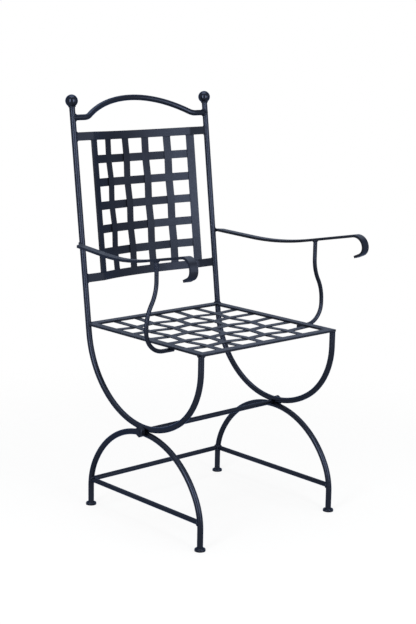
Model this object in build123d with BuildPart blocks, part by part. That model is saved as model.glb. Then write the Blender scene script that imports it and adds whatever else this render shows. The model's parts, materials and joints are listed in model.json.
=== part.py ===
from build123d import *
import os
from math import asin, atan2, cos, degrees, radians, sin, sqrt, tan

os.makedirs("parts", exist_ok=True)

# Garden armchair of round and flat iron bar. Millimetres and degrees.
# +Z is up, the front of the chair faces -Y, and the floor is at Z = 0.
# The origin is on the floor, under the middle of the chair's overall box.

# Stock
bar_dia = 14.0
stretcher_dia = 12.0
support_dia = 10.0

# Side frames: an upright that runs on into a U, with a leg arch under it
side_spacing = 418.4
u_depth = 212.0
rear_bend_radius = 215.4
front_bend_radius = 161.5
front_bend_angle = 57.0
back_rake = 7.14
leg_span = 402.8
leg_offset = 4.1
leg_straight = 47.0
shoulder_angle = 27.5
foot_dia = 25.5
foot_thickness = 5.5
foot_round = 1.8

# Stretchers and the tie bar that clamps the side frames
stretcher_height = 64.7
tie_bar_dia = 12.0
thread_dia = 10.0
thread_clearance = 0.2
thread_end = 0.5
nut_across_flats = 23.0
nut_thickness = 11.0

# Finials and crest rail
finial_dia = 30.0
finial_above_seat = 524.0
finial_seat = 5.0
crest_drop = 39.1
crest_end = 44.2
crest_rise = 56.3
crest_lean = 43.7
crest_corner = 30.0

# Back panel: two bowed rails and a woven lattice
top_rail_drop = 44.5
bottom_rail_above_seat = 105.9
back_rail_width = 20.0
back_rail_thickness = 4.0
panel_end = 57.2
panel_rise = 34.3
panel_corner = 12.0
slat_width = 20.0
slat_thickness = 2.0
outer_slat_thickness = 6.0
upright_slats = 6
cross_slats = 5
slat_end_flat = 3.0

# Seat: a flat frame and a woven lattice under it
seat_height = 453.0
seat_rail_width = 20.0
seat_rail_thickness = 5.0
seat_rail_inset = 2.6
seat_rail_bite = 2.0
strip_width = 16.5
strip_thickness = 2.0
long_strips = 5
cross_strips = 5
strip_tuck = 12.0

# Weave, shared by the back and the seat
weave_gap = 0.2
weave_flat_margin = 2.0
weave_bend = 30.0

# Arms and their supports
arm_width = 20.0
arm_thickness = 6.0
arm_above_seat = 187.0
arm_bite = 2.0
arm_overhang = 2.4
arm_end_slant = 16.0
arm_splay = 5.5
arm_fall_angle = 2.9
arm_fall_length = 127.0
arm_dip_radius = 720.0
arm_rise_angle = 11.0
arm_rise_length = 145.5
scroll_radius = 26.4
curl_radius = 19.0
curl_turn = 66.0
scroll_tail = 15.0
support_ahead = 2.8
support_inset = 5.0
support_bow = 28.0
support_hook_radius = 49.0
support_lower_straight = 8.0
support_upper_straight = 46.0
support_tail_tuck = 6.0
support_bite = 2.0

# Heights, all carried by the seat
seat_underside = seat_height - seat_rail_thickness
u_height = seat_height - u_depth
arm_rear_height = seat_height + arm_above_seat
finial_height = seat_height + finial_above_seat
crest_height = finial_height - crest_drop
top_rail_height = crest_height - top_rail_drop
bottom_rail_height = seat_height + bottom_rail_above_seat

# Side frame, worked out from the lowest point of the U
bar_radius = bar_dia / 2
side_x = side_spacing / 2
rake = radians(back_rake)
u_centre_z = u_height + rear_bend_radius
bend_start_reach = rear_bend_radius * cos(rake)
bend_start_z = u_centre_z - rear_bend_radius * sin(rake)
rear_bend_angle = 180 - back_rake - front_bend_angle
change_angle = radians(back_rake + rear_bend_angle)
front_post_reach = (rear_bend_radius - front_bend_radius) * cos(change_angle) - front_bend_radius


def upright_reach(height):
    return bend_start_reach + (height - bend_start_z) * tan(rake)


# Arm, worked out along its own length from its rear end
fall = radians(arm_fall_angle)
rise = radians(arm_rise_angle)
splay = radians(arm_splay)
dip_turn = arm_fall_angle + arm_rise_angle
scroll_turn = 90 + arm_rise_angle
dip_start_run = arm_fall_length * cos(fall)
rise_start_run = dip_start_run + arm_dip_radius * (sin(fall) + sin(rise))
scroll_start_run = rise_start_run + arm_rise_length * cos(rise)
arm_run = scroll_start_run + scroll_radius * (1 + sin(rise)) + arm_thickness / 2
arm_rear_reach = upright_reach(arm_rear_height) + arm_overhang
arm_front_reach = arm_rear_reach - arm_run * cos(splay) - arm_width / 2 * sin(splay)
arm_rear_x = side_x + bar_radius - arm_bite + arm_width / 2

# The chair's box runs from the scrolls to the crest rail, and the origin is at its middle
crest_rear_reach = upright_reach(crest_height) + crest_rise * sin(radians(crest_lean)) + bar_radius
u_y = -(crest_rear_reach + arm_front_reach) / 2
front_post_y = u_y + front_post_reach
arm_rear_y = u_y + arm_rear_reach


def upright_y(height):
    return u_y + upright_reach(height)


def arm_height(run):
    # Height of the arm's middle line at a distance forward of its rear end
    if run < dip_start_run:
        return arm_rear_height - run * tan(fall)
    heading = rise
    if run < rise_start_run:
        heading = asin((run - dip_start_run) / arm_dip_radius - sin(fall))
    dip_lift = arm_dip_radius * (cos(fall) - cos(heading))
    rise_lift = max(0, run - rise_start_run) * tan(rise)
    return arm_rear_height - arm_fall_length * sin(fall) + dip_lift + rise_lift


# Leg arch: two shoulder bends and a crown fill its span and its rise, and the crown touches the U
crown_turn = radians(shoulder_angle)
crown_sin = sin(crown_turn)
crown_cos = cos(crown_turn)
half_leg_span = leg_span / 2
arch_rise = u_height - bar_dia - leg_straight
shoulder_share = crown_sin + crown_cos - 1
shoulder_radius = (arch_rise * crown_cos - half_leg_span * (1 - crown_sin)) / shoulder_share
crown_radius = (half_leg_span * crown_sin - arch_rise * (1 - crown_cos)) / shoulder_share
centre_distance = rear_bend_radius + crown_radius + bar_dia
crown_centre_z = u_centre_z - sqrt(centre_distance**2 - leg_offset**2)
shoulder_z = crown_centre_z + (crown_radius - shoulder_radius) * crown_sin
arch_y = u_y + leg_offset
rear_leg_y = arch_y + half_leg_span
front_leg_y = arch_y - half_leg_span
touch_share = (rear_bend_radius + bar_radius) / centre_distance
touch_y = u_y + leg_offset * touch_share
touch_z = u_centre_z - (u_centre_z - crown_centre_z) * touch_share
notch_dia = thread_dia + thread_clearance


def arch_half_width(height):
    # Half the distance between the two legs' middle lines at a height
    if height < shoulder_z:
        return half_leg_span
    if height < shoulder_z + shoulder_radius * crown_sin:
        return half_leg_span - shoulder_radius + sqrt(shoulder_radius**2 - (height - shoulder_z) ** 2)
    return sqrt(crown_radius**2 - (height - crown_centre_z) ** 2)


sides = {"left": -1, "right": 1}
leg_rows = {"front": front_leg_y, "rear": rear_leg_y}


def save(piece, name):
    piece.part.label = name
    export_step(piece.part, f"parts/{name}.step")


def bowed_line(half_span, half_chord, rise_height, corner):
    # A straight end, a small bend, one wide arc, a small bend and a straight end
    radius = (half_chord**2 + rise_height**2) / (2 * rise_height)
    centre = rise_height - radius
    bend_x = sqrt((radius + corner) ** 2 - (corner - centre) ** 2)
    turn = degrees(asin(bend_x / (radius + corner)))
    Line((-half_span, 0), (-bend_x, 0))
    CenterArc((-bend_x, corner), corner, -90, turn)
    CenterArc((0, centre), radius, 90 + turn, -2 * turn)
    CenterArc((bend_x, corner), corner, 270 - turn, turn)
    Line((bend_x, 0), (half_span, 0))


def weave_points(stations):
    # Each station is flat from one place to another at a level; points in line are left out
    points = []
    last = len(stations) - 1
    for index, (begin, end, level) in enumerate(stations):
        if index == 0 or stations[index - 1][2] != level:
            points.append((begin, level))
        if index == last or stations[index + 1][2] != level:
            points.append((end, level))
    return points


def bent_line(points):
    if len(points) == 2:
        return Line(*points)
    return FilletPolyline(*points, radius=weave_bend)


def woven_profile(points, thickness):
    # A strip seen from its edge, half its thickness each side of the points
    half = thickness / 2
    lower = bent_line([(place, level - half) for place, level in points])
    upper = bent_line([(place, level + half) for place, level in points])
    Line(lower @ 0, upper @ 0)
    Line(lower @ 1, upper @ 1)


# Side bars: upright, U and front post in one bent bar
bar_top_z = finial_height - finial_seat * cos(rake)
side_bars = {}
for side, sign in sides.items():
    with BuildPart() as side_bar:
        with BuildLine(Plane.YZ.offset(sign * side_x)) as bar_path:
            upright = Line((upright_y(bar_top_z), bar_top_z), (upright_y(bend_start_z), bend_start_z))
            rear_bend = JernArc(upright @ 1, upright % 1, rear_bend_radius, -rear_bend_angle)
            front_bend = JernArc(rear_bend @ 1, rear_bend % 1, front_bend_radius, -front_bend_angle)
            Line(front_bend @ 1, (front_post_y, seat_underside))
        with BuildSketch(bar_path.line ^ 0):
            Circle(bar_radius)
        sweep()
        with BuildSketch(Plane.YZ.offset(sign * side_x)):
            with Locations((touch_y, touch_z)):
                Circle(notch_dia / 2)
        extrude(amount=bar_dia, both=True, mode=Mode.SUBTRACT)
    side_bars[side] = side_bar
    save(side_bar, f"{side}_side_bar")

# Leg arches: two legs and a crown in one bent bar
leg_arches = {}
for side, sign in sides.items():
    with BuildPart() as leg_arch:
        with BuildLine(Plane.YZ.offset(sign * side_x)) as arch_path:
            rear_leg = Line((rear_leg_y, foot_thickness), (rear_leg_y, shoulder_z))
            rear_shoulder = JernArc(rear_leg @ 1, rear_leg % 1, shoulder_radius, shoulder_angle)
            crown = JernArc(rear_shoulder @ 1, rear_shoulder % 1, crown_radius, 180 - 2 * shoulder_angle)
            front_shoulder = JernArc(crown @ 1, crown % 1, shoulder_radius, shoulder_angle)
            Line(front_shoulder @ 1, (front_leg_y, foot_thickness))
        with BuildSketch(arch_path.line ^ 0):
            Circle(bar_radius)
        sweep()
        with BuildSketch(Plane.YZ.offset(sign * side_x)):
            with Locations((touch_y, touch_z)):
                Circle(notch_dia / 2)
        extrude(amount=bar_dia, both=True, mode=Mode.SUBTRACT)
    leg_arches[side] = leg_arch
    save(leg_arch, f"{side}_leg_arch")

# Feet: a round pad under each leg, its upper edge rounded
for side, sign in sides.items():
    for row, leg_y in leg_rows.items():
        with BuildPart() as foot:
            with BuildSketch():
                with Locations((sign * side_x, leg_y)):
                    Circle(foot_dia / 2)
            extrude(amount=foot_thickness)
            fillet(foot.faces().sort_by(Axis.Z)[-1].edges(), radius=foot_round)
        save(foot, f"{row}_{side}_foot")

# Finials: a ball over the end of each upright
for side, sign in sides.items():
    with BuildPart() as finial:
        with Locations((sign * side_x, upright_y(finial_height), finial_height)):
            Sphere(finial_dia / 2)
        add(side_bars[side].part, mode=Mode.SUBTRACT)
    save(finial, f"{side}_finial")

# Crest rail: a round bar that arches up and back between the uprights
crest_lean_angle = radians(crest_lean)
crest_plane = Plane(
    origin=(0, upright_y(crest_height), crest_height),
    x_dir=(1, 0, 0),
    z_dir=(0, -cos(crest_lean_angle), sin(crest_lean_angle)),
)
with BuildPart() as crest_rail:
    with BuildLine(crest_plane) as crest_path:
        bowed_line(side_x, side_x - crest_end, crest_rise, crest_corner)
    with BuildSketch(crest_path.line ^ 0):
        Circle(bar_radius)
    sweep()
    for side_bar in side_bars.values():
        add(side_bar.part, mode=Mode.SUBTRACT)
save(crest_rail, "crest_rail")

# Back panel: its plan plane leans with the uprights, so its own Z runs up along them
back_plane = Plane(
    origin=(0, upright_y(bottom_rail_height), bottom_rail_height),
    x_dir=(1, 0, 0),
    z_dir=(0, sin(rake), cos(rake)),
)
panel_length = (top_rail_height - bottom_rail_height) / cos(rake)
panel_half_chord = side_x - panel_end
for name, rail_level in {"back_bottom_rail": 0, "back_top_rail": panel_length}.items():
    with BuildPart() as back_rail:
        with BuildSketch(back_plane.offset(rail_level)):
            with BuildLine():
                bowed_line(side_x, panel_half_chord, panel_rise, panel_corner)
            trace(line_width=back_rail_thickness)
        extrude(amount=back_rail_width / 2, both=True)
        for side_bar in side_bars.values():
            add(side_bar.part, mode=Mode.SUBTRACT)
    save(back_rail, name)

# Lattice of the back: upright slats stand at equal turns along the bow
panel_radius = (panel_half_chord**2 + panel_rise**2) / (2 * panel_rise)
panel_centre = panel_rise - panel_radius
edge_turn = degrees(asin(panel_half_chord / panel_radius))
slat_turns = [edge_turn * (2 * column / (upright_slats - 1) - 1) for column in range(upright_slats)]
row_pitch = panel_length / (cross_slats + 1)
row_levels = [panel_length - row_pitch * (row + 1) for row in range(cross_slats)]
slat_weave = (slat_thickness + weave_gap) / 2
slat_flat = slat_width / 2 + weave_flat_margin


def bow_point(turn, along, inward):
    # A point of the bow's plan: at a turn, then along the bow there, then towards the sitter
    angle = radians(turn)
    radius = panel_radius - inward
    return (radius * sin(angle) + along * cos(angle), panel_centre + radius * cos(angle) - along * sin(angle))


def cross_is_in_front(row, column):
    return (row + column) % 2 == 1


for column, turn in enumerate(slat_turns):
    angle = radians(turn)
    slat_plane = Plane(
        origin=back_plane.from_local_coords(bow_point(turn, 0, 0)),
        x_dir=back_plane.z_dir,
        z_dir=back_plane.x_dir * cos(angle) - back_plane.y_dir * sin(angle),
    )
    lower_end = back_rail_width / 2
    upper_end = panel_length - back_rail_width / 2
    if column in (0, upright_slats - 1):
        thickness = outer_slat_thickness
        stations = [(lower_end, upper_end, 0)]
    else:
        thickness = slat_thickness
        stations = [(lower_end, lower_end + slat_end_flat, 0)]
        for row in reversed(range(cross_slats)):
            level = -slat_weave if cross_is_in_front(row, column) else slat_weave
            stations.append((row_levels[row] - slat_flat, row_levels[row] + slat_flat, level))
        stations.append((upper_end - slat_end_flat, upper_end, 0))
    with BuildPart() as upright_slat:
        with BuildSketch(slat_plane):
            with BuildLine():
                woven_profile(weave_points(stations), thickness)
            make_face()
        extrude(amount=slat_width / 2, both=True)
    save(upright_slat, f"back_upright_slat_{column + 1}")

# Cross slats follow the bow, pass in front of every other inner slat and end against the outer ones
for row, level in enumerate(row_levels):
    with BuildPart() as cross_slat:
        with BuildSketch(back_plane.offset(level)):
            with BuildLine():
                faces = []
                for half in (-slat_thickness / 2, slat_thickness / 2):
                    points = []
                    points.append(bow_point(slat_turns[0], slat_width / 2, half))
                    for column in range(1, upright_slats - 1):
                        inward = slat_weave if cross_is_in_front(row, column) else -slat_weave
                        points.append(bow_point(slat_turns[column], -slat_flat, inward + half))
                        points.append(bow_point(slat_turns[column], slat_flat, inward + half))
                    points.append(bow_point(slat_turns[-1], -slat_width / 2, half))
                    faces.append(FilletPolyline(*points, radius=weave_bend))
                Line(faces[0] @ 0, faces[1] @ 0)
                Line(faces[0] @ 1, faces[1] @ 1)
            make_face()
        extrude(amount=slat_width / 2, both=True)
    save(cross_slat, f"back_cross_slat_{row + 1}")

# Seat frame: flat bars level with each other, flush with the uprights behind and notched round them
seat_half_width = side_x + bar_radius - seat_rail_inset
seat_inner_x = seat_half_width - seat_rail_width
seat_front_y = front_post_y - bar_radius
seat_inner_front_y = seat_front_y + seat_rail_width
upright_seat_y = upright_y(seat_height - seat_rail_thickness / 2)
seat_rear_y = upright_seat_y + bar_radius
seat_inner_rear_y = seat_rear_y - seat_rail_width
seat_heel_x = side_x - bar_radius + seat_rail_bite
seat_plane = Plane.XY.offset(seat_underside)


def flat_bar(low_x, high_x, low_y, high_y):
    with Locations(((low_x + high_x) / 2, (low_y + high_y) / 2)):
        Rectangle(high_x - low_x, high_y - low_y)


with BuildPart() as seat_front_rail:
    with BuildSketch(seat_plane):
        flat_bar(-seat_half_width, seat_half_width, seat_front_y, seat_inner_front_y)
    extrude(amount=seat_rail_thickness)
save(seat_front_rail, "seat_front_rail")

with BuildPart() as seat_rear_rail:
    with BuildSketch(seat_plane):
        flat_bar(-seat_inner_x, seat_inner_x, seat_inner_rear_y, seat_rear_y)
    extrude(amount=seat_rail_thickness)
save(seat_rear_rail, "seat_rear_rail")

for side, sign in sides.items():
    rail_x = sorted((sign * seat_inner_x, sign * seat_half_width))
    heel_x = sorted((sign * seat_inner_x, sign * seat_heel_x))
    with BuildPart() as seat_side_rail:
        with BuildSketch(seat_plane):
            flat_bar(*rail_x, seat_inner_front_y, upright_seat_y)
            flat_bar(*heel_x, upright_seat_y, seat_rear_y)
        extrude(amount=seat_rail_thickness)
        add(side_bars[side].part, mode=Mode.SUBTRACT)
    save(seat_side_rail, f"seat_{side}_rail")

# Lattice of the seat: strips woven at equal spaces, their ends welded under the frame
strip_weave = (strip_thickness + weave_gap) / 2
lattice_z = seat_underside - strip_thickness / 2 - strip_weave
strip_flat = strip_width / 2 + weave_flat_margin
long_pitch = 2 * seat_inner_x / (long_strips + 1)
cross_pitch = (seat_inner_rear_y - seat_inner_front_y) / (cross_strips + 1)
long_places = [-seat_inner_x + long_pitch * (column + 1) for column in range(long_strips)]
cross_places = [seat_inner_front_y + cross_pitch * (row + 1) for row in range(cross_strips)]


def strip_stations(low, high, places, phase):
    stations = [(low - strip_tuck, low, strip_weave)]
    for index, place in enumerate(places):
        level = strip_weave if (index + phase) % 2 == 0 else -strip_weave
        stations.append((place - strip_flat, place + strip_flat, level))
    stations.append((high, high + strip_tuck, strip_weave))
    return stations


for column, place in enumerate(long_places):
    strip_plane = Plane(origin=(place, 0, lattice_z), x_dir=(0, 1, 0), z_dir=(1, 0, 0))
    stations = strip_stations(seat_inner_front_y, seat_inner_rear_y, cross_places, column)
    with BuildPart() as long_strip:
        with BuildSketch(strip_plane):
            with BuildLine():
                woven_profile(weave_points(stations), strip_thickness)
            make_face()
        extrude(amount=strip_width / 2, both=True)
    save(long_strip, f"seat_long_strip_{column + 1}")

for row, place in enumerate(cross_places):
    strip_plane = Plane(origin=(0, place, lattice_z), x_dir=(1, 0, 0), z_dir=(0, -1, 0))
    stations = strip_stations(-seat_inner_x, seat_inner_x, long_places, row + 1)
    with BuildPart() as cross_strip:
        with BuildSketch(strip_plane):
            with BuildLine():
                woven_profile(weave_points(stations), strip_thickness)
            make_face()
        extrude(amount=strip_width / 2, both=True)
    save(cross_strip, f"seat_cross_strip_{row + 1}")

# Arms: flat bar on edge lines that splay outwards, welded to the uprights and scrolled in front
arms = {}
for side, sign in sides.items():
    rear_point = Vector(sign * arm_rear_x, arm_rear_y)
    forward = Vector(sign * sin(splay), -cos(splay))
    outward = Vector(sign * cos(splay), sin(splay))
    arm_plane = Plane(
        origin=(rear_point.X, rear_point.Y, arm_rear_height),
        x_dir=(forward.X, forward.Y, 0),
        z_dir=(forward.Y, -forward.X, 0),
    )
    slant_points = [
        rear_point + outward * (-arm_width / 2),
        rear_point + outward * (arm_width / 2) + forward * arm_end_slant,
        rear_point + outward * arm_width - forward * arm_width,
        rear_point - outward * (arm_width / 2) - forward * arm_width,
    ]
    with BuildPart() as arm:
        with BuildSketch(arm_plane):
            with BuildLine():
                arm_fall = PolarLine((0, 0), arm_fall_length, -arm_fall_angle)
                arm_dip = JernArc(arm_fall @ 1, arm_fall % 1, arm_dip_radius, dip_turn)
                arm_rise = PolarLine(arm_dip @ 1, arm_rise_length, arm_rise_angle)
                scroll = JernArc(arm_rise @ 1, arm_rise % 1, scroll_radius, -scroll_turn)
                curl = JernArc(scroll @ 1, scroll % 1, curl_radius, -curl_turn)
                PolarLine(curl @ 1, scroll_tail, -90 - curl_turn)
            trace(line_width=arm_thickness)
        extrude(amount=arm_width / 2, both=True)
        with BuildSketch(Plane.XY.offset(arm_rear_height)):
            with BuildLine():
                Polyline(*[(point.X, point.Y) for point in slant_points], close=True)
            make_face()
        extrude(amount=arm_width, both=True, mode=Mode.SUBTRACT)
        add(side_bars[side].part, mode=Mode.SUBTRACT)
    arms[side] = arm
    save(arm, f"{side}_arm")

# Arm supports: up from under the seat rail, out round the sitter and up to the arm
support_radius = support_dia / 2
support_y = (cross_places[0] + cross_places[1]) / 2 - support_ahead
support_run = (arm_rear_y - support_y) / cos(splay)
support_top_x = arm_rear_x + support_run * sin(splay) - support_inset
support_top_z = arm_height(support_run) - arm_thickness / 2 / cos(rise) + support_bite
hook_x = support_top_x + support_bow - support_hook_radius
tail_z = seat_underside - support_radius
bow_straights = support_lower_straight + support_upper_straight
bow_height = support_top_z - tail_z - support_hook_radius - bow_straights
bow_radius = (bow_height**2 + support_bow**2) / (4 * support_bow)
bow_turn = degrees(2 * atan2(support_bow, bow_height))
tail_x = seat_inner_x + support_tail_tuck
for side, sign in sides.items():
    support_plane = Plane(origin=(0, support_y, 0), x_dir=(sign, 0, 0), z_dir=(0, -sign, 0))
    with BuildPart() as arm_support:
        with BuildLine(support_plane) as support_path:
            tail = Line((tail_x, tail_z), (hook_x, tail_z))
            hook = JernArc(tail @ 1, tail % 1, support_hook_radius, 90)
            lower = PolarLine(hook @ 1, support_lower_straight, 90)
            bow_in = JernArc(lower @ 1, lower % 1, bow_radius, bow_turn)
            bow_out = JernArc(bow_in @ 1, bow_in % 1, bow_radius, -bow_turn)
            Line(bow_out @ 1, (support_top_x, support_top_z))
        with BuildSketch(support_path.line ^ 0):
            Circle(support_radius)
        sweep()
        add(arms[side].part, mode=Mode.SUBTRACT)
    save(arm_support, f"{side}_arm_support")

# Stretchers: straight bars fitted to the legs
half_stretcher = arch_half_width(stretcher_height)
side_stretchers = {}
for side, sign in sides.items():
    with BuildPart() as side_stretcher:
        with BuildSketch(Plane.XZ.offset(-arch_y)):
            with Locations((sign * side_x, stretcher_height)):
                Circle(stretcher_dia / 2)
        extrude(amount=half_stretcher, both=True)
        add(leg_arches[side].part, mode=Mode.SUBTRACT)
    side_stretchers[side] = side_stretcher
    save(side_stretcher, f"{side}_side_stretcher")

with BuildPart() as rear_stretcher:
    with BuildSketch(Plane.YZ):
        with Locations((arch_y + half_stretcher, stretcher_height)):
            Circle(stretcher_dia / 2)
    extrude(amount=side_x, both=True)
    for neighbour in (*leg_arches.values(), *side_stretchers.values()):
        add(neighbour.part, mode=Mode.SUBTRACT)
save(rear_stretcher, "rear_stretcher")

# Tie bar: its shoulders rest on the U and the arch, and its threaded ends run out between them
outer_face_x = side_x + bar_radius
shoulder_drop = max(0, bar_radius - tie_bar_dia / 2)
shoulder_x = side_x - sqrt(bar_radius**2 - shoulder_drop**2)
with BuildPart() as tie_bar:
    with BuildSketch(Plane.YZ):
        with Locations((touch_y, touch_z)):
            Circle(tie_bar_dia / 2)
    extrude(amount=shoulder_x, both=True)
    with BuildSketch(Plane.YZ):
        with Locations((touch_y, touch_z)):
            Circle(thread_dia / 2)
    extrude(amount=outer_face_x + nut_thickness + thread_end, both=True)
save(tie_bar, "tie_bar")

# Nuts bear on the outer faces of both side frames, a corner of each pointing up
with BuildPart() as tie_bar_nuts:
    for sign in sides.values():
        with BuildSketch(Plane.YZ.offset(sign * (outer_face_x + nut_thickness / 2))):
            with Locations((touch_y, touch_z)):
                RegularPolygon(nut_across_flats / 2, 6, major_radius=False, rotation=30)
                Circle(notch_dia / 2, mode=Mode.SUBTRACT)
        extrude(amount=nut_thickness / 2, both=True)
save(tie_bar_nuts, "tie_bar_nuts")
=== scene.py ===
import json
from math import asin, cos, pi, radians, sin, sqrt, tan

import bmesh
import bpy
from mathutils import Matrix, Vector


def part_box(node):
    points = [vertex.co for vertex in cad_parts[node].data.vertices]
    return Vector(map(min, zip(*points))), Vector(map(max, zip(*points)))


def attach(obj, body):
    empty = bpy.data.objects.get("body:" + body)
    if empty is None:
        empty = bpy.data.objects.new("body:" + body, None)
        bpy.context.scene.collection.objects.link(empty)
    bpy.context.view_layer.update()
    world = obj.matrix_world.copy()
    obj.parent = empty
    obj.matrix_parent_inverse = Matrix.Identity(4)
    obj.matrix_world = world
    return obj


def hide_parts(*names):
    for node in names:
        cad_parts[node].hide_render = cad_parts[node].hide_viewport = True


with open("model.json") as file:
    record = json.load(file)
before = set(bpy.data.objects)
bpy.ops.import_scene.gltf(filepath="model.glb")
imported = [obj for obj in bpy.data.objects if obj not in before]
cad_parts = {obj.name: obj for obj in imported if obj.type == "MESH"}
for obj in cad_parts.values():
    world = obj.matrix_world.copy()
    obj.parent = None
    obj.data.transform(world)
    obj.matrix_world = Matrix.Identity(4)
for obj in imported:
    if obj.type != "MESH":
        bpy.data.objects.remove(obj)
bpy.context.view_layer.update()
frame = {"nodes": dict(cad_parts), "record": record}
nodes = frame["nodes"]
subparts = frame["record"]["subparts"]
scene = bpy.context.scene
print("frame loaded:", len(nodes), "nodes")


# sizes that the details share, read off the CAD nodes in metres; +Z is up and the chair faces -Y
def nodeMiddle(name):
    low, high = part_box(name)
    return (low + high) / 2


def nodeSize(name):
    low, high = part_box(name)
    return high - low


chair = {
    "rake": radians(7.14),      # lean of the back uprights
    "sideX": nodeMiddle("right_leg_arch").x,
    "barRadius": nodeSize("right_leg_arch").x / 2,
    "supportRadius": nodeSize("right_arm_support").y / 2,
    "stretcherRadius": nodeSize("rear_stretcher").z / 2,
    "ballRadius": nodeSize("right_finial").x / 2,
    "ballY": nodeMiddle("right_finial").y,
    "seatTop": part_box("seat_front_rail")[1].z,
    "seatUnder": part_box("seat_front_rail")[0].z,
    "archY": nodeMiddle("right_leg_arch").y,
}
chair["ballZ"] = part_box("right_finial")[1].z - chair["ballRadius"]
signs = (-1, 1)     # left and right, front and rear, or under and over
uprightAxis = Vector((0, sin(chair["rake"]), cos(chair["rake"])))
backAxis = Vector((0, cos(chair["rake"]), -sin(chair["rake"])))
acrossAxis = Vector((1, 0, 0))
frontAxis = Vector((0, -1, 0))
upAxis = Vector((0, 0, 1))


def uprightPoint(sign, height):
    y = chair["ballY"] + (height - chair["ballZ"]) * tan(chair["rake"])
    return Vector((sign * chair["sideX"], y, height))


def addObject(name, data):
    thing = bpy.data.objects.new(name, data)
    scene.collection.objects.link(thing)
    return thing


# camera, at the angle and distance that the photograph gives
photoCamera = {
    "place": (-2.20925, -2.468086, 1.16831),
    "right": (0.7442484, -0.6676767, 0.0173841),
    "up": (0.1227740, 0.1623458, 0.9790661),
    "lens": 81.249,
    "pictureHeight": 36.0,      # millimetres of sensor over the picture's height
    "farthest": 60,             # metres
}


def placeCamera():
    data = bpy.data.cameras.new("photoCamera")
    data.sensor_fit = "VERTICAL"
    data.sensor_height = photoCamera["pictureHeight"]
    data.lens = photoCamera["lens"]
    data.clip_end = photoCamera["farthest"]
    camera = addObject("photoCamera", data)
    right = Vector(photoCamera["right"])
    up = Vector(photoCamera["up"])
    turn = Matrix((right, up, right.cross(up))).transposed().to_4x4()
    camera.matrix_world = Matrix.Translation(photoCamera["place"]) @ turn
    scene.camera = camera


placeCamera()
print("camera placed")


# small helpers for node trees
def addNode(tree, kind, **settings):
    node = tree.nodes.new(kind)
    for name, value in settings.items():
        setattr(node, name, value)
    return node


def feed(tree, socket, value):
    if isinstance(value, (int, float)):
        socket.default_value = value
    else:
        tree.links.new(value, socket)


def mathNode(tree, operation, *values):
    node = addNode(tree, "ShaderNodeMath", operation=operation)
    for socket, value in zip(node.inputs, values):
        feed(tree, socket, value)
    return node.outputs[0]


def noiseNode(tree, scale, detail):
    noise = addNode(tree, "ShaderNodeTexNoise")
    noise.inputs["Detail"].default_value = detail
    feed(tree, noise.inputs["Scale"], scale)
    tree.links.new(addNode(tree, "ShaderNodeTexCoord").outputs["Object"], noise.inputs["Vector"])
    return noise.outputs["Fac"]


def newGroup(name, inputs, outputs):
    group = bpy.data.node_groups.new(name, "ShaderNodeTree")
    for label, kind in inputs.items():
        group.interface.new_socket(label, in_out="INPUT", socket_type=kind)
    for label, kind in outputs.items():
        group.interface.new_socket(label, in_out="OUTPUT", socket_type=kind)
    return group, group.nodes.new("NodeGroupInput").outputs, group.nodes.new("NodeGroupOutput").inputs


# powder coat: tone drifts along the bars, a fine grain, orange peel and the slow waves of forged stock
coatPattern = {
    "cloudScale": 9,        # the drift of the tone
    "cloudDetail": 3,
    "grainDetail": 2,
    "peelDetail": 1,
    "waveDetail": 2,
    "grainRise": 0.12,      # parts of the bump's height
    "peelRise": 0.3,
}


def buildPowderCoat():
    group, given, result = newGroup(
        "powderCoat",
        {
            "Tone": "NodeSocketColor",
            "Drift": "NodeSocketFloat",
            "Gloss Floor": "NodeSocketFloat",
            "Gloss Swing": "NodeSocketFloat",
            "Grain Size": "NodeSocketFloat",
            "Peel Size": "NodeSocketFloat",
            "Wave Size": "NodeSocketFloat",
            "Wave Share": "NodeSocketFloat",
        },
        {"Color": "NodeSocketColor", "Roughness": "NodeSocketFloat", "Height": "NodeSocketFloat"},
    )

    def patternOf(label, detail):
        return noiseNode(group, mathNode(group, "DIVIDE", 1.0, given[label]), detail)

    grain = patternOf("Grain Size", coatPattern["grainDetail"])
    peel = patternOf("Peel Size", coatPattern["peelDetail"])
    wave = patternOf("Wave Size", coatPattern["waveDetail"])
    cloud = noiseNode(group, coatPattern["cloudScale"], coatPattern["cloudDetail"])
    centred = mathNode(group, "MULTIPLY_ADD", cloud, 2.0, -1.0)
    level = mathNode(group, "MULTIPLY_ADD", centred, given["Drift"], 1.0)
    toned = addNode(group, "ShaderNodeVectorMath", operation="SCALE")
    group.links.new(given["Tone"], toned.inputs[0])
    group.links.new(level, toned.inputs["Scale"])
    group.links.new(toned.outputs[0], result["Color"])
    evenMix = mathNode(group, "MULTIPLY", mathNode(group, "ADD", peel, wave), 0.5)
    gloss = mathNode(group, "MULTIPLY_ADD", evenMix, given["Gloss Swing"], given["Gloss Floor"])
    group.links.new(gloss, result["Roughness"])
    peelHeight = mathNode(group, "MULTIPLY", peel, coatPattern["peelRise"])
    fineHeight = mathNode(group, "MULTIPLY_ADD", grain, coatPattern["grainRise"], peelHeight)
    height = mathNode(group, "MULTIPLY_ADD", wave, given["Wave Share"], fineHeight)
    group.links.new(height, result["Height"])
    return group


# a pale bluish layer in patches on faces that look up: partly settled dust, partly a painted sheen that
# stands in for the light the tops reflect
dustAndSheenPattern = {
    "facingFrom": 0.55,     # least upward share of a face's normal that takes any dust or painted sheen
    "patchScale": 60,
    "patchDetail": 4,
}


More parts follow.
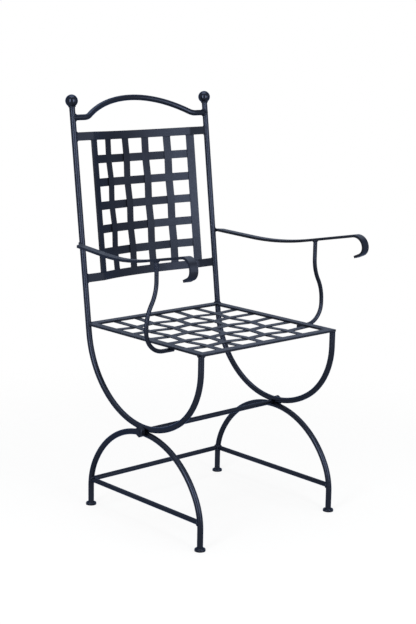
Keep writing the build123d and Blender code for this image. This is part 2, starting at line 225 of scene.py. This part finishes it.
def buildDustAndPaintedSheen():
    group, given, result = newGroup(
        "dustAndPaintedSheen", {"Amount": "NodeSocketFloat"}, {"Mask": "NodeSocketFloat"}
    )
    facing = addNode(group, "ShaderNodeSeparateXYZ")
    group.links.new(addNode(group, "ShaderNodeNewGeometry").outputs["Normal"], facing.inputs[0])
    upward = addNode(group, "ShaderNodeMapRange", interpolation_type="SMOOTHSTEP")
    upward.inputs["From Min"].default_value = dustAndSheenPattern["facingFrom"]
    group.links.new(facing.outputs["Z"], upward.inputs["Value"])
    patches = noiseNode(group, dustAndSheenPattern["patchScale"], dustAndSheenPattern["patchDetail"])
    speckled = mathNode(group, "MULTIPLY", upward.outputs[0], patches)
    group.links.new(mathNode(group, "MULTIPLY", speckled, given["Amount"]), result["Mask"])
    return group


powderCoat = buildPowderCoat()
dustAndPaintedSheen = buildDustAndPaintedSheen()


# the coat's metallic pigment keeps its sides dark, and the dust and painted sheen on faces that look up is
# paler, duller and not metallic
def paintMaterial(name, look):
    material = bpy.data.materials.new(name)
    material.use_nodes = True
    tree = material.node_tree
    shader = tree.nodes["Principled BSDF"]
    shader.inputs["Specular Tint"].default_value = (*look["edgeTint"], 1)
    coat = addNode(tree, "ShaderNodeGroup", node_tree=powderCoat)
    coat.inputs["Tone"].default_value = (*look["tone"], 1)
    coat.inputs["Drift"].default_value = look["drift"]
    coat.inputs["Gloss Floor"].default_value = look["roughFrom"]
    coat.inputs["Gloss Swing"].default_value = look["roughSwing"]
    coat.inputs["Grain Size"].default_value = look["grain"]
    coat.inputs["Peel Size"].default_value = look["peel"]
    coat.inputs["Wave Size"].default_value = look["wave"]
    coat.inputs["Wave Share"].default_value = look["waveShare"]
    # a paler bluish tone on faces that look up: dust and a painted sheen
    dustAndSheen = addNode(tree, "ShaderNodeGroup", node_tree=dustAndPaintedSheen)
    dustAndSheen.inputs["Amount"].default_value = look["dustAndSheen"]
    dustAndSheenMix = addNode(tree, "ShaderNodeMix", data_type="RGBA")
    dustAndSheenMix.inputs["B"].default_value = (*look["dustAndSheenTone"], 1)
    tree.links.new(dustAndSheen.outputs["Mask"], dustAndSheenMix.inputs["Factor"])
    tree.links.new(coat.outputs["Color"], dustAndSheenMix.inputs["A"])
    tree.links.new(dustAndSheenMix.outputs["Result"], shader.inputs["Base Color"])
    tree.links.new(mathNode(tree, "SUBTRACT", 1.0, dustAndSheen.outputs["Mask"]), shader.inputs["Metallic"])
    dulled = mathNode(tree, "ADD", coat.outputs["Roughness"], dustAndSheen.outputs["Mask"])
    tree.links.new(dulled, shader.inputs["Roughness"])
    bump = addNode(tree, "ShaderNodeBump")
    bump.inputs["Strength"].default_value = look["bump"]
    bump.inputs["Distance"].default_value = look["bumpDepth"]
    tree.links.new(coat.outputs["Height"], bump.inputs["Height"])
    tree.links.new(bump.outputs["Normal"], shader.inputs["Normal"])
    return material


# what the paints share unless they say otherwise; the pattern's sizes are in metres
commonPaint = {
    "edgeTint": (0.46, 0.52, 0.68),
    "grain": 0.0007,
    # dust and a painted bluish sheen on faces that look up
    "dustAndSheen": 0.2,
    "dustAndSheenTone": (0.075, 0.098, 0.142),
}

# round bar: drawn stock, so its waves are slight
roundBarPaint = paintMaterial("roundBarPaint", {
    **commonPaint,
    "tone": (0.0170, 0.0204, 0.0312),
    "drift": 0.35,
    "roughFrom": 0.22,
    "roughSwing": 0.14,
    "peel": 0.0032,
    "wave": 0.018,
    "waveShare": 0.35,
    "bump": 0.2,
    "bumpDepth": 0.0004,
})

# flat bar: rolled and hammered straight, with longer waves that break up its reflections, and the most dust
# and painted sheen, which lightens its tops
flatBarPaint = paintMaterial("flatBarPaint", {
    **commonPaint,
    "tone": (0.0180, 0.0211, 0.0302),
    "drift": 0.4,
    "edgeTint": (0.58, 0.65, 0.86),
    "roughFrom": 0.38,
    "roughSwing": 0.16,
    "peel": 0.0035,
    "wave": 0.028,
    "waveShare": 0.7,
    "bump": 0.3,
    "bumpDepth": 0.0009,
    "dustAndSheen": 0.45,
    "dustAndSheenTone": (0.135, 0.158, 0.198),
})

# nuts: a little duller than the bars, with a pattern that suits their size
nutPaint = paintMaterial("nutPaint", {
    **commonPaint,
    "tone": (0.0172, 0.0204, 0.0302),
    "drift": 0.3,
    "roughFrom": 0.34,
    "roughSwing": 0.16,
    "grain": 0.0006,
    "peel": 0.002,
    "wave": 0.006,
    "waveShare": 0.4,
    "bump": 0.3,
    "bumpDepth": 0.0005,
})

# weld beads: darker and rougher under the same coat
weldPaint = paintMaterial("weldPaint", {
    **commonPaint,
    "tone": (0.0158, 0.0190, 0.0288),
    "drift": 0.3,
    "roughFrom": 0.34,
    "roughSwing": 0.16,
    "grain": 0.0006,
    "peel": 0.0018,
    "wave": 0.005,
    "waveShare": 0.6,
    "bump": 0.35,
    "bumpDepth": 0.0006,
})

# ball finials: pressed smooth, so the coat shines more on them
ballPaint = paintMaterial("ballPaint", {
    **commonPaint,
    "tone": (0.0170, 0.0204, 0.0312),
    "drift": 0.2,
    "roughFrom": 0.12,
    "roughSwing": 0.08,
    "peel": 0.0032,
    "wave": 0.018,
    "waveShare": 0.2,
    "bump": 0.1,
    "bumpDepth": 0.0003,
    # only a little dust and painted sheen, so the ball's top stays dark
    "dustAndSheen": 0.1,
})

slotPaints = {"round_bar_paint": roundBarPaint, "flat_bar_paint": flatBarPaint, "nut_paint": nutPaint}
nodePaints = {entry["node"]: slotPaints[entry["material_slot"]] for entry in subparts}
nodePaints.update(left_finial=ballPaint, right_finial=ballPaint)
for name, paint in nodePaints.items():
    nodes[name].data.materials.clear()
    nodes[name].data.materials.append(paint)
print("powder coat on", len(nodePaints), "nodes")


def finishPiece(name, mesh, paint):
    bmesh.ops.recalc_face_normals(mesh, faces=mesh.faces)
    for face in mesh.faces:
        face.smooth = True
    data = bpy.data.meshes.new(name)
    mesh.to_mesh(data)
    mesh.free()
    data.materials.append(paint)
    piece = addObject(name, data)
    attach(piece, "root")
    return piece


def joinRings(mesh, rings, closed):
    pairs = list(zip(rings, rings[1:]))
    if closed:
        pairs.append((rings[-1], rings[0]))
    for first, second in pairs:
        for index in range(len(first)):
            following = (index + 1) % len(first)
            mesh.faces.new((first[index], first[following], second[following], second[index]))


# tie bar nuts with the chamfered corners of real ones, a corner up
nutShape = {
    "sides": 6,
    "acrossFlats": nodeSize("tie_bar_nuts").y,
    "thickness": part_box("tie_bar_nuts")[1].x - chair["sideX"] - chair["barRadius"],
    "bore": 0.0102,             # clears the 10 mm thread
    "faceShare": 0.95,          # flat ring of each end face, as a share of the width across flats
    "chamferTurn": radians(30),
    "sharpTurn": radians(24),   # edges that turn more than this stay crisp
    "steps": 72,
    "y": nodeMiddle("tie_bar").y,
    "z": nodeMiddle("tie_bar").z,
}


def nutInto(mesh, middleX):
    half = nutShape["thickness"] / 2
    flat = nutShape["acrossFlats"] / 2
    boreRadius = nutShape["bore"] / 2
    faceRadius = flat * nutShape["faceShare"]
    sideTurn = 2 * pi / nutShape["sides"]
    columns = []
    for step in range(nutShape["steps"]):
        angle = 2 * pi * step / nutShape["steps"]
        hexRadius = flat / cos(angle % sideTurn - sideTurn / 2)
        drop = (hexRadius - faceRadius) * tan(nutShape["chamferTurn"])
        outline = (
            (boreRadius, half),
            (faceRadius, half),
            (hexRadius, half - drop),
            (hexRadius, drop - half),
            (faceRadius, -half),
            (boreRadius, -half),
        )
        columns.append([
            mesh.verts.new((
                middleX + along,
                nutShape["y"] + radius * sin(angle),
                nutShape["z"] + radius * cos(angle),
            ))
            for radius, along in outline
        ])
    joinRings(mesh, columns, True)


def makeNuts():
    mesh = bmesh.new()
    offset = chair["barRadius"] + nutShape["thickness"] / 2
    for sign in signs:
        nutInto(mesh, sign * (chair["sideX"] + offset))
    mesh.normal_update()
    for edge in mesh.edges:
        edge.smooth = edge.calc_face_angle() <= nutShape["sharpTurn"]
    piece = finishPiece("tieBarNutsChamfered", mesh, nutPaint)
    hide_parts("tie_bar_nuts")


makeNuts()
print("nuts made")

# weld beads: rippled rounds of metal that run along each joint
bead = {
    "step": 0.0009,         # metres from ring to ring
    "fewestSteps": 4,
    "ripple": 0.10,         # swing of the radius, as a share of it
    "pitch": 0.0031,        # metres from ripple to ripple
    "sides": 10,
    "endShare": 0.4,        # radius at an open end, as a share of the bead's
    "ringPoints": 40,
    "saddlePoints": 48,
}


def spreadPoints(points, closed):
    line = [Vector(point) for point in points]
    if closed:
        line.append(line[0])
    lengths = [(after - before).length for before, after in zip(line, line[1:])]
    total = sum(lengths)
    count = max(bead["fewestSteps"], round(total / bead["step"]))
    spaced = []
    index = 0
    passed = 0.0
    for step in range(count if closed else count + 1):
        target = total * step / count
        while index < len(lengths) - 1 and passed + lengths[index] < target:
            passed += lengths[index]
            index += 1
        share = (target - passed) / lengths[index]
        spaced.append(line[index].lerp(line[index + 1], min(1.0, share)))
    return spaced


def beadInto(mesh, points, radius, closed=False):
    line = spreadPoints(points, closed)
    middle = sum(line, Vector()) / len(line)
    last = len(line) - 1
    side = None
    rings = []
    for index, point in enumerate(line):
        before = line[index - 1] if index > 0 or closed else point
        after = line[(index + 1) % len(line)] if index < last or closed else point
        along = (after - before).normalized()
        if closed:
            side = point - middle
        elif side is None:
            side = along.orthogonal()
        side = (side - along * side.dot(along)).normalized()
        other = along.cross(side)
        width = radius * (1 + bead["ripple"] * sin(2 * pi * index * bead["step"] / bead["pitch"]))
        if not closed and index in (0, last):
            width = radius * bead["endShare"]
        ring = []
        for step in range(bead["sides"]):
            angle = 2 * pi * step / bead["sides"]
            ring.append(mesh.verts.new(point + side * (width * cos(angle)) + other * (width * sin(angle))))
        rings.append(ring)
    joinRings(mesh, rings, closed)
    if not closed:
        mesh.faces.new(rings[0])
        mesh.faces.new(rings[-1])


def ringLine(middle, axis, radius, begin=0.0, sweep=2 * pi, facing=None):
    first = axis.orthogonal() if facing is None else facing
    first = (first - axis * first.dot(axis)).normalized()
    second = axis.cross(first)
    steps = bead["ringPoints"]
    closed = sweep >= 2 * pi
    line = []
    for step in range(steps if closed else steps + 1):
        angle = begin + sweep * step / steps
        line.append(middle + first * (radius * cos(angle)) + second * (radius * sin(angle)))
    return line


def saddleLine(middle, mainAxis, mainRadius, branchAxis, branchRadius):
    across = mainAxis.cross(branchAxis).normalized()
    line = []
    for step in range(bead["saddlePoints"]):
        angle = 2 * pi * step / bead["saddlePoints"]
        offset = branchRadius * sin(angle)
        reach = sqrt(max(0.0, mainRadius**2 - offset**2))
        line.append(middle + branchAxis * reach + mainAxis * (branchRadius * cos(angle)) + across * offset)
    return line


def boxLine(middle, wide, halfWide, tall, halfTall):
    return [
        middle - wide * halfWide - tall * halfTall,
        middle + wide * halfWide - tall * halfTall,
        middle + wide * halfWide + tall * halfTall,
        middle - wide * halfWide + tall * halfTall,
    ]


# welds of the back: finials, crest rail, the two bowed rails and the ends of the slats
backWeld = {
    "crestHeight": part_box("crest_rail")[0].z + chair["barRadius"],
    "railHalfWidth": 0.010,
    "railHalfThick": 0.002,
    "bowHalfChord": 0.152,
    "bowRise": 0.0343,
    "slatHalfWidth": 0.010,
    "slatHalfThick": 0.001,
    "outerHalfThick": 0.003,
    "columns": 6,
    "rows": 5,
    "neckBead": 0.0020,
    "crestBead": 0.0028,
    "railBead": 0.0024,
    "slatBead": 0.0010,
}
backWeld["bowRadius"] = (backWeld["bowHalfChord"]**2 + backWeld["bowRise"]**2) / (2 * backWeld["bowRise"])
railTop = backWeld["railHalfWidth"] * cos(chair["rake"]) + backWeld["railHalfThick"] * sin(chair["rake"])
backWeld["bottomRail"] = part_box("back_bottom_rail")[1].z - railTop
backWeld["topRail"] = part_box("back_top_rail")[1].z - railTop


def bowPoint(turn, along, level):
    # a point of the bowed back: at a turn, then along the bow there, and up the panel
    radius = backWeld["bowRadius"]
    across = radius * sin(turn) + along * cos(turn)
    depth = backWeld["bowRise"] - radius + radius * cos(turn) - along * sin(turn)
    base = uprightPoint(0, backWeld["bottomRail"])
    return base + acrossAxis * across + backAxis * depth + uprightAxis * level


def makeBackWelds():
    mesh = bmesh.new()
    radius = chair["barRadius"]
    neck = sqrt(chair["ballRadius"]**2 - radius**2)
    for sign in signs:
        ball = uprightPoint(sign, chair["ballZ"])
        beadInto(mesh, ringLine(ball - uprightAxis * neck, uprightAxis, radius), backWeld["neckBead"], True)
        inward = acrossAxis * -sign
        crestEnd = uprightPoint(sign, backWeld["crestHeight"])
        beadInto(mesh, saddleLine(crestEnd, uprightAxis, radius, inward, radius), backWeld["crestBead"], True)
        reach = sqrt(radius**2 - backWeld["railHalfThick"]**2)
        for height in (backWeld["bottomRail"], backWeld["topRail"]):
            end = uprightPoint(sign, height) + inward * reach
            loop = boxLine(end, backAxis, backWeld["railHalfThick"], uprightAxis, backWeld["railHalfWidth"])
            beadInto(mesh, loop, backWeld["railBead"], True)
    panel = (backWeld["topRail"] - backWeld["bottomRail"]) / cos(chair["rake"])
    edgeTurn = asin(backWeld["bowHalfChord"] / backWeld["bowRadius"])
    last = backWeld["columns"] - 1
    for column in range(backWeld["columns"]):
        turn = edgeTurn * (2 * column / last - 1)
        outer = column in (0, last)
        halfThick = backWeld["outerHalfThick"] if outer else backWeld["slatHalfThick"]
        wide = acrossAxis * cos(turn) - backAxis * sin(turn)
        deep = acrossAxis * sin(turn) + backAxis * cos(turn)
        for level in (backWeld["railHalfWidth"], panel - backWeld["railHalfWidth"]):
            loop = boxLine(bowPoint(turn, 0, level), wide, backWeld["slatHalfWidth"], deep, halfThick)
            beadInto(mesh, loop, backWeld["slatBead"], True)
        if not outer:
            continue
        inside = backWeld["slatHalfWidth"] if column == 0 else -backWeld["slatHalfWidth"]
        for row in range(backWeld["rows"]):
            middle = bowPoint(turn, inside, panel * (row + 1) / (backWeld["rows"] + 1))
            loop = boxLine(middle, uprightAxis, backWeld["slatHalfWidth"], deep, backWeld["slatHalfThick"])
            beadInto(mesh, loop, backWeld["slatBead"], True)
    finishPiece("backWelds", mesh, weldPaint)


makeBackWelds()

# welds of the seat: posts, notched side rails and the strip ends under the frame
seatWeld = {
    "frontPostY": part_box("seat_front_rail")[0].y + chair["barRadius"],
    "innerX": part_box("seat_rear_rail")[1].x,
    "outerX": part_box("seat_front_rail")[1].x,
    "innerFrontY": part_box("seat_front_rail")[1].y,
    "innerRearY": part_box("seat_rear_rail")[0].y,
    "strips": 5,
    "stripHalfWidth": nodeSize("seat_long_strip_3").x / 2,
    "tuck": 0.012,
    "notchFrom": radians(-132),     # turns round an upright, from straight ahead, that a side rail touches
    "notchSweep": radians(168),
    "postFrom": radians(100),       # the outer front corner of the seat frame stays square
    "postSweep": radians(240),
    "postBead": 0.0024,
    "notchBead": 0.0026,
    "stripBead": 0.0010,
}


def stripEndInto(mesh, edge, outward, across):
    # three sides of a strip's end, from the inner edge of the frame out under it and back
    end = edge + outward * seatWeld["tuck"]
    half = across * seatWeld["stripHalfWidth"]
    beadInto(mesh, [edge - half, end - half, end + half, edge + half], seatWeld["stripBead"])


def makeSeatWelds():
    mesh = bmesh.new()
    radius = chair["barRadius"]
    under = chair["seatUnder"]
    for sign in signs:
        axis = upAxis * sign
        post = Vector((sign * chair["sideX"], seatWeld["frontPostY"], under))
        line = ringLine(post, axis, radius, seatWeld["postFrom"], seatWeld["postSweep"], frontAxis)
        beadInto(mesh, line, seatWeld["postBead"])
        for height in (under, chair["seatTop"]):
            middle = uprightPoint(sign, height)
            line = ringLine(middle, axis, radius, seatWeld["notchFrom"], seatWeld["notchSweep"], frontAxis)
            beadInto(mesh, line, seatWeld["notchBead"])
    pitchX = 2 * seatWeld["innerX"] / (seatWeld["strips"] + 1)
    pitchY = (seatWeld["innerRearY"] - seatWeld["innerFrontY"]) / (seatWeld["strips"] + 1)
    for strip in range(seatWeld["strips"]):
        x = -seatWeld["innerX"] + pitchX * (strip + 1)
        y = seatWeld["innerFrontY"] + pitchY * (strip + 1)
        stripEndInto(mesh, Vector((x, seatWeld["innerFrontY"], under)), frontAxis, acrossAxis)
        stripEndInto(mesh, Vector((x, seatWeld["innerRearY"], under)), -frontAxis, acrossAxis)
        for sign in signs:
            stripEndInto(mesh, Vector((sign * seatWeld["innerX"], y, under)), acrossAxis * sign, -frontAxis)
    finishPiece("seatWelds", mesh, weldPaint)


makeSeatWelds()

# welds of the arms: to the uprights, and both ends of the supports
armWeld = {
    "aboveSeat": 0.187,     # where an arm meets its upright
    "halfThick": 0.003,
    "fall": radians(2.9),   # slope of the arm at the upright
    "rise": radians(11.0),  # slope of the arm at the support
    "bow": 0.028,
    "biteTurn": radians(50),
    "supportY": nodeMiddle("right_arm_support").y,
    "tailInset": 0.001,     # the tail's beads stop this short of its ends and hang this far below the rail
    "tailSpread": 0.62,     # distance of the tail's beads from its middle, as a share of its radius
    "armBead": 0.0024,
    "topBead": 0.0022,
    "tailBead": 0.0016,
}
armWeld["height"] = chair["seatTop"] + armWeld["aboveSeat"]
armWeld["supportX"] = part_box("right_arm_support")[1].x - armWeld["bow"] - chair["supportRadius"]
armWeld["supportTop"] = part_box("right_arm_support")[1].z - chair["supportRadius"] * tan(armWeld["rise"])


def makeArmWelds():
    mesh = bmesh.new()
    turn = armWeld["biteTurn"]
    armAxis = Vector((0, -sin(armWeld["fall"]), cos(armWeld["fall"])))
    slope = Vector((0, sin(armWeld["rise"]), cos(armWeld["rise"])))
    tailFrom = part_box("right_arm_support")[0].x + armWeld["tailInset"]
    tailTo = seatWeld["outerX"] - armWeld["tailInset"]
    tailZ = chair["seatUnder"] - armWeld["tailInset"]
    for sign in signs:
        for step in signs:
            middle = uprightPoint(sign, armWeld["height"] + step * armWeld["halfThick"])
            line = ringLine(middle, armAxis, chair["barRadius"], -turn, 2 * turn, acrossAxis * sign)
            beadInto(mesh, line, armWeld["armBead"])
        top = Vector((sign * armWeld["supportX"], armWeld["supportY"], armWeld["supportTop"]))
        beadInto(mesh, ringLine(top, slope, chair["supportRadius"]), armWeld["topBead"], True)
        for step in signs:
            tailY = armWeld["supportY"] + step * chair["supportRadius"] * armWeld["tailSpread"]
            tail = [(sign * tailFrom, tailY, tailZ), (sign * tailTo, tailY, tailZ)]
            beadInto(mesh, tail, armWeld["tailBead"])
    finishPiece("armWelds", mesh, weldPaint)


makeArmWelds()

# welds of the legs: feet and stretchers
legWeld = {
    "footTop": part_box("front_left_foot")[1].z,
    "halfSpan": nodeSize("right_leg_arch").y / 2 - chair["barRadius"],
    "stretcherHeight": nodeMiddle("rear_stretcher").z,
    "stretcherHalf": nodeMiddle("rear_stretcher").y - chair["archY"],
    "legLean": radians(6.9),
    "footBead": 0.0019,
    "stretcherBead": 0.0026,
}


def makeLegWelds():
    mesh = bmesh.new()
    radius = chair["barRadius"]
    for sign in signs:
        for row in signs:
            footY = chair["archY"] + row * legWeld["halfSpan"]
            foot = Vector((sign * chair["sideX"], footY, legWeld["footTop"]))
            beadInto(mesh, ringLine(foot, upAxis, radius), legWeld["footBead"], True)
            jointY = chair["archY"] + row * legWeld["stretcherHalf"]
            joint = Vector((sign * chair["sideX"], jointY, legWeld["stretcherHeight"]))
            lean = Vector((0, -row * sin(legWeld["legLean"]), cos(legWeld["legLean"])))
            branches = [frontAxis * row]
            if row > 0:
                branches.append(acrossAxis * -sign)
            for branch in branches:
                line = saddleLine(joint, lean, radius, branch, chair["stretcherRadius"])
                beadInto(mesh, line, legWeld["stretcherBead"], True)
    finishPiece("legWelds", mesh, weldPaint)


makeLegWelds()
print("welds made")

# plain white floor that fades into the white round about, and keeps the shadow
floorLook = {
    "half": 4.0,
    "drop": 0.0002,     # just clear of the feet
    "tone": 0.92,
    "lift": 0.85,       # share of plain white that the camera sees
    "fadeFrom": 0.5,
    "fadeTo": 1.5,
}


def seenRays(tree):
    path = addNode(tree, "ShaderNodeLightPath")
    glossy = mathNode(tree, "MAXIMUM", path.outputs["Is Glossy Ray"], path.outputs["Is Transmission Ray"])
    return mathNode(tree, "MAXIMUM", path.outputs["Is Camera Ray"], glossy)


def mixShaders(tree, share, first, second):
    mixed = addNode(tree, "ShaderNodeMixShader")
    tree.links.new(share, mixed.inputs["Fac"])
    tree.links.new(first.outputs[0], mixed.inputs[1])
    tree.links.new(second.outputs[0], mixed.inputs[2])
    return mixed


def floorMaterial():
    material = bpy.data.materials.new("studioFloorWhite")
    material.use_nodes = True
    tree = material.node_tree
    tree.nodes.remove(tree.nodes["Principled BSDF"])
    diffuse = addNode(tree, "ShaderNodeBsdfDiffuse")
    diffuse.inputs["Color"].default_value = (floorLook["tone"],) * 3 + (1,)
    white = addNode(tree, "ShaderNodeEmission")
    clear = addNode(tree, "ShaderNodeBsdfTransparent")
    reach = addNode(tree, "ShaderNodeVectorMath", operation="LENGTH")
    tree.links.new(addNode(tree, "ShaderNodeTexCoord").outputs["Object"], reach.inputs[0])
    fade = addNode(tree, "ShaderNodeMapRange", interpolation_type="SMOOTHSTEP")
    fade.inputs["From Min"].default_value = floorLook["fadeFrom"]
    fade.inputs["From Max"].default_value = floorLook["fadeTo"]
    tree.links.new(reach.outputs["Value"], fade.inputs["Value"])
    lift = mathNode(tree, "MULTIPLY", seenRays(tree), floorLook["lift"])
    lifted = mixShaders(tree, lift, diffuse, white)
    ending = mixShaders(tree, fade.outputs[0], lifted, clear)
    tree.links.new(ending.outputs[0], tree.nodes["Material Output"].inputs["Surface"])
    return material


def makeFloor():
    half = floorLook["half"]
    corners = [(-half, -half, 0), (half, -half, 0), (half, half, 0), (-half, half, 0)]
    data = bpy.data.meshes.new("studioFloor")
    data.from_pydata(corners, [], [(0, 1, 2, 3)])
    data.materials.append(floorMaterial())
    floor = addObject("studioFloor", data)
    floor.location.z = -floorLook["drop"]


makeFloor()

# white round about: even fill light, and plain white wherever it is seen or mirrored
roundAbout = {"fill": 0.25}


def makeRoundAbout():
    world = bpy.data.worlds.new("whiteStudio")
    world.use_nodes = True
    scene.world = world
    tree = world.node_tree
    backdrop = tree.nodes["Background"]
    backdrop.inputs["Color"].default_value = (1, 1, 1, 1)
    level = mathNode(tree, "MULTIPLY_ADD", seenRays(tree), 1 - roundAbout["fill"], roundAbout["fill"])
    tree.links.new(level, backdrop.inputs["Strength"])


makeRoundAbout()

# two tall soft boxes either side of the camera, a wide dim one in front and one overhead
softBoxes = {
    "leftBox": {"place": (-2.60, -0.90, 1.32), "aim": (0, 0, 0.8), "wide": 0.7, "tall": 2.5, "watts": 61},
    "rightBox": {"place": (-0.29, -2.74, 1.32), "aim": (0, 0, 0.8), "wide": 0.7, "tall": 2.5, "watts": 48},
    "frontBox": {"place": (0.95, -2.58, 1.3), "aim": (0, 0, 0.8), "wide": 1.4, "tall": 1.6, "watts": 22},
    "topBox": {"place": (0.0, 0.3, 3.2), "aim": (0, 0, 0), "wide": 2.2, "tall": 2.2, "watts": 45},
}
boxTint = (0.97, 0.985, 1.0)


def hangSoftBox(name, box):
    lamp = bpy.data.lights.new(name, "AREA")
    lamp.shape = "RECTANGLE"
    lamp.size = box["wide"]
    lamp.size_y = box["tall"]
    lamp.energy = box["watts"]
    lamp.color = boxTint
    holder = addObject(name, lamp)
    holder.location = box["place"]
    towards = Vector(box["aim"]) - Vector(box["place"])
    holder.rotation_euler = towards.to_track_quat("-Z", "Y").to_euler()


for name, box in softBoxes.items():
    hangSoftBox(name, box)
print("floor, white round about and soft boxes set")

scene.view_settings.view_transform = "Standard"
